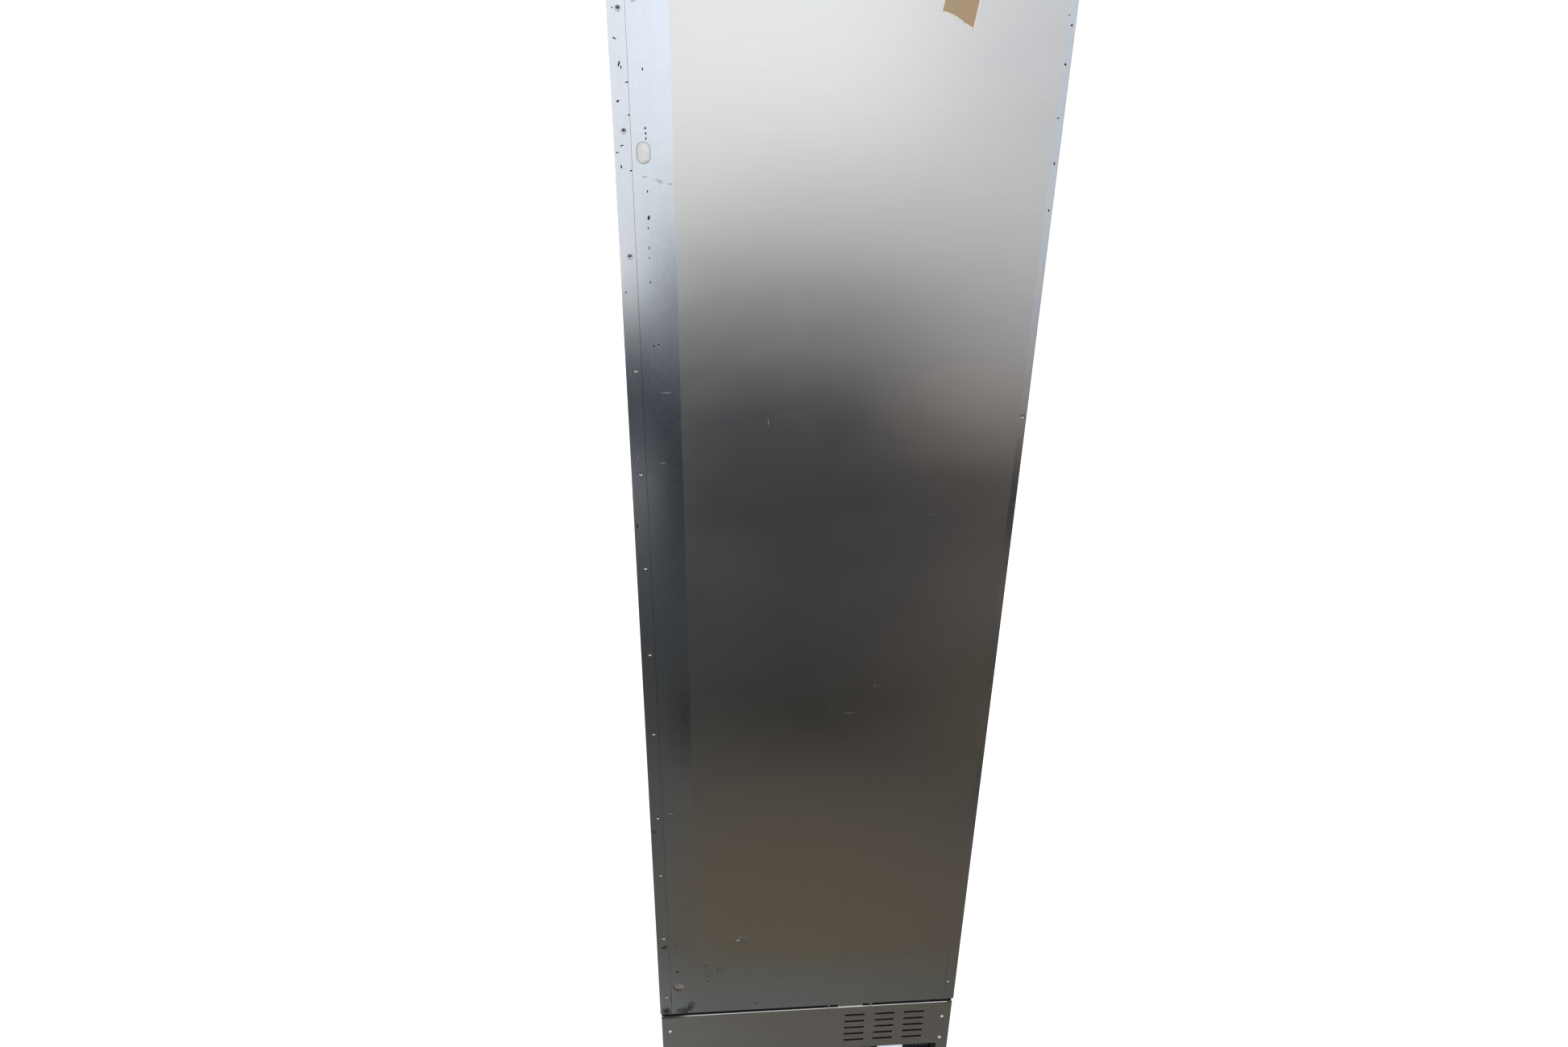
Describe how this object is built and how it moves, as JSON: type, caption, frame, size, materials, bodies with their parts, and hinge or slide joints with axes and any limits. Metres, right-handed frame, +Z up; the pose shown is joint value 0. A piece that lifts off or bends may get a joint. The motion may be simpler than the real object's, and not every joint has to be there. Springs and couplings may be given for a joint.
{
  "type": "vented kick plate with insulated wall panel",
  "caption": "Tall insulated steel wall panel of a built-in column with a screwed, vented and notched kick plate at its foot, on a braced base frame with levelling feet.",
  "frame": {"origin": "middle of the bounding box on the floor, under the whole assembly", "axes": "+X to the right seen from the front, +Y from the kick plate side to the back, +Z up"},
  "size_m": [0.61, 0.3024, 2.134],
  "materials": {
    "base_coat": "satin",
    "bright_bracket": "polished",
    "dark_plastic": "matte",
    "duct_sheet": "satin",
    "facing": "satin",
    "frame_steel": "satin",
    "galvanized_channel": "satin",
    "galvanized_flange": "satin",
    "galvanized_skin": "satin",
    "kick_plate": "satin",
    "liner": "satin",
    "paper_tape": "matte",
    "plug_foam": "matte",
    "wall_foam": "matte",
    "zinc_feet": "satin",
    "zinc_nuts": "satin",
    "zinc_screws": "polished"
  },
  "bodies": {
    "frame": {"baffle_post": "duct_sheet", "base_pan": "base_coat", "bottom_channel": "galvanized_channel", "clip_nut_left_lower": "zinc_nuts", "clip_nut_left_upper": "zinc_nuts", "clip_nut_right_lower": "zinc_nuts", "clip_nut_right_upper": "zinc_nuts", "connection_bracket": "bright_bracket", "deck": "base_coat", "duct_panel": "duct_sheet", "facing_sheet": "facing", "foam_core": "wall_foam", "foot_nut_back_left": "zinc_nuts", "foot_nut_back_right": "zinc_nuts", "foot_nut_front_left": "zinc_nuts", "foot_nut_front_right": "zinc_nuts", "front_left_post": "base_coat", "front_right_post": "base_coat", "inner_liner": "liner", "kick_plate": "kick_plate", "kick_screw_left_lower": "zinc_screws", "kick_screw_left_upper": "zinc_screws", "kick_screw_right_lower": "zinc_screws", "kick_screw_right_upper": "zinc_screws", "left_corner_flange": "galvanized_flange", "left_flange_screw_1": "zinc_screws", "left_flange_screw_10": "zinc_screws", "left_flange_screw_11": "zinc_screws", "left_flange_screw_12": "zinc_screws", "left_flange_screw_2": "zinc_screws", "left_flange_screw_3": "zinc_screws", "left_flange_screw_4": "zinc_screws", "left_flange_screw_5": "zinc_screws", "left_flange_screw_6": "zinc_screws", "left_flange_screw_7": "zinc_screws", "left_flange_screw_8": "zinc_screws", "left_flange_screw_9": "zinc_screws", "left_gusset": "base_coat", "left_runner": "base_coat", "left_screw_rail": "frame_steel", "outer_skin": "galvanized_skin", "oval_plug": "plug_foam", "rear_left_post": "base_coat", "rear_right_post": "base_coat", "ribbed_housing": "dark_plastic", "right_corner_flange": "galvanized_flange", "right_flange_screw_lower": "zinc_screws", "right_flange_screw_upper": "zinc_screws", "right_gusset": "base_coat", "right_runner": "base_coat", "right_screw_rail": "frame_steel", "round_plug": "wall_foam", "tape_scrap": "paper_tape", "top_channel": "galvanized_channel"},
    "foot_front_left": {"foot_front_left": "zinc_feet"},
    "foot_front_right": {"foot_front_right": "zinc_feet"},
    "foot_back_left": {"foot_back_left": "zinc_feet"},
    "foot_back_right": {"foot_back_right": "zinc_feet"}
  },
  "joints": [
    {"name": "foot_front_left_travel", "type": "slide", "parent": "frame", "child": "foot_front_left", "axis": [0, 0, -1], "range_m": [0, 0.02]},
    {"name": "foot_front_right_travel", "type": "slide", "parent": "frame", "child": "foot_front_right", "axis": [0, 0, -1], "range_m": [0, 0.02]},
    {"name": "foot_back_left_travel", "type": "slide", "parent": "frame", "child": "foot_back_left", "axis": [0, 0, -1], "range_m": [0, 0.02]},
    {"name": "foot_back_right_travel", "type": "slide", "parent": "frame", "child": "foot_back_right", "axis": [0, 0, -1], "range_m": [0, 0.02]}
  ]
}
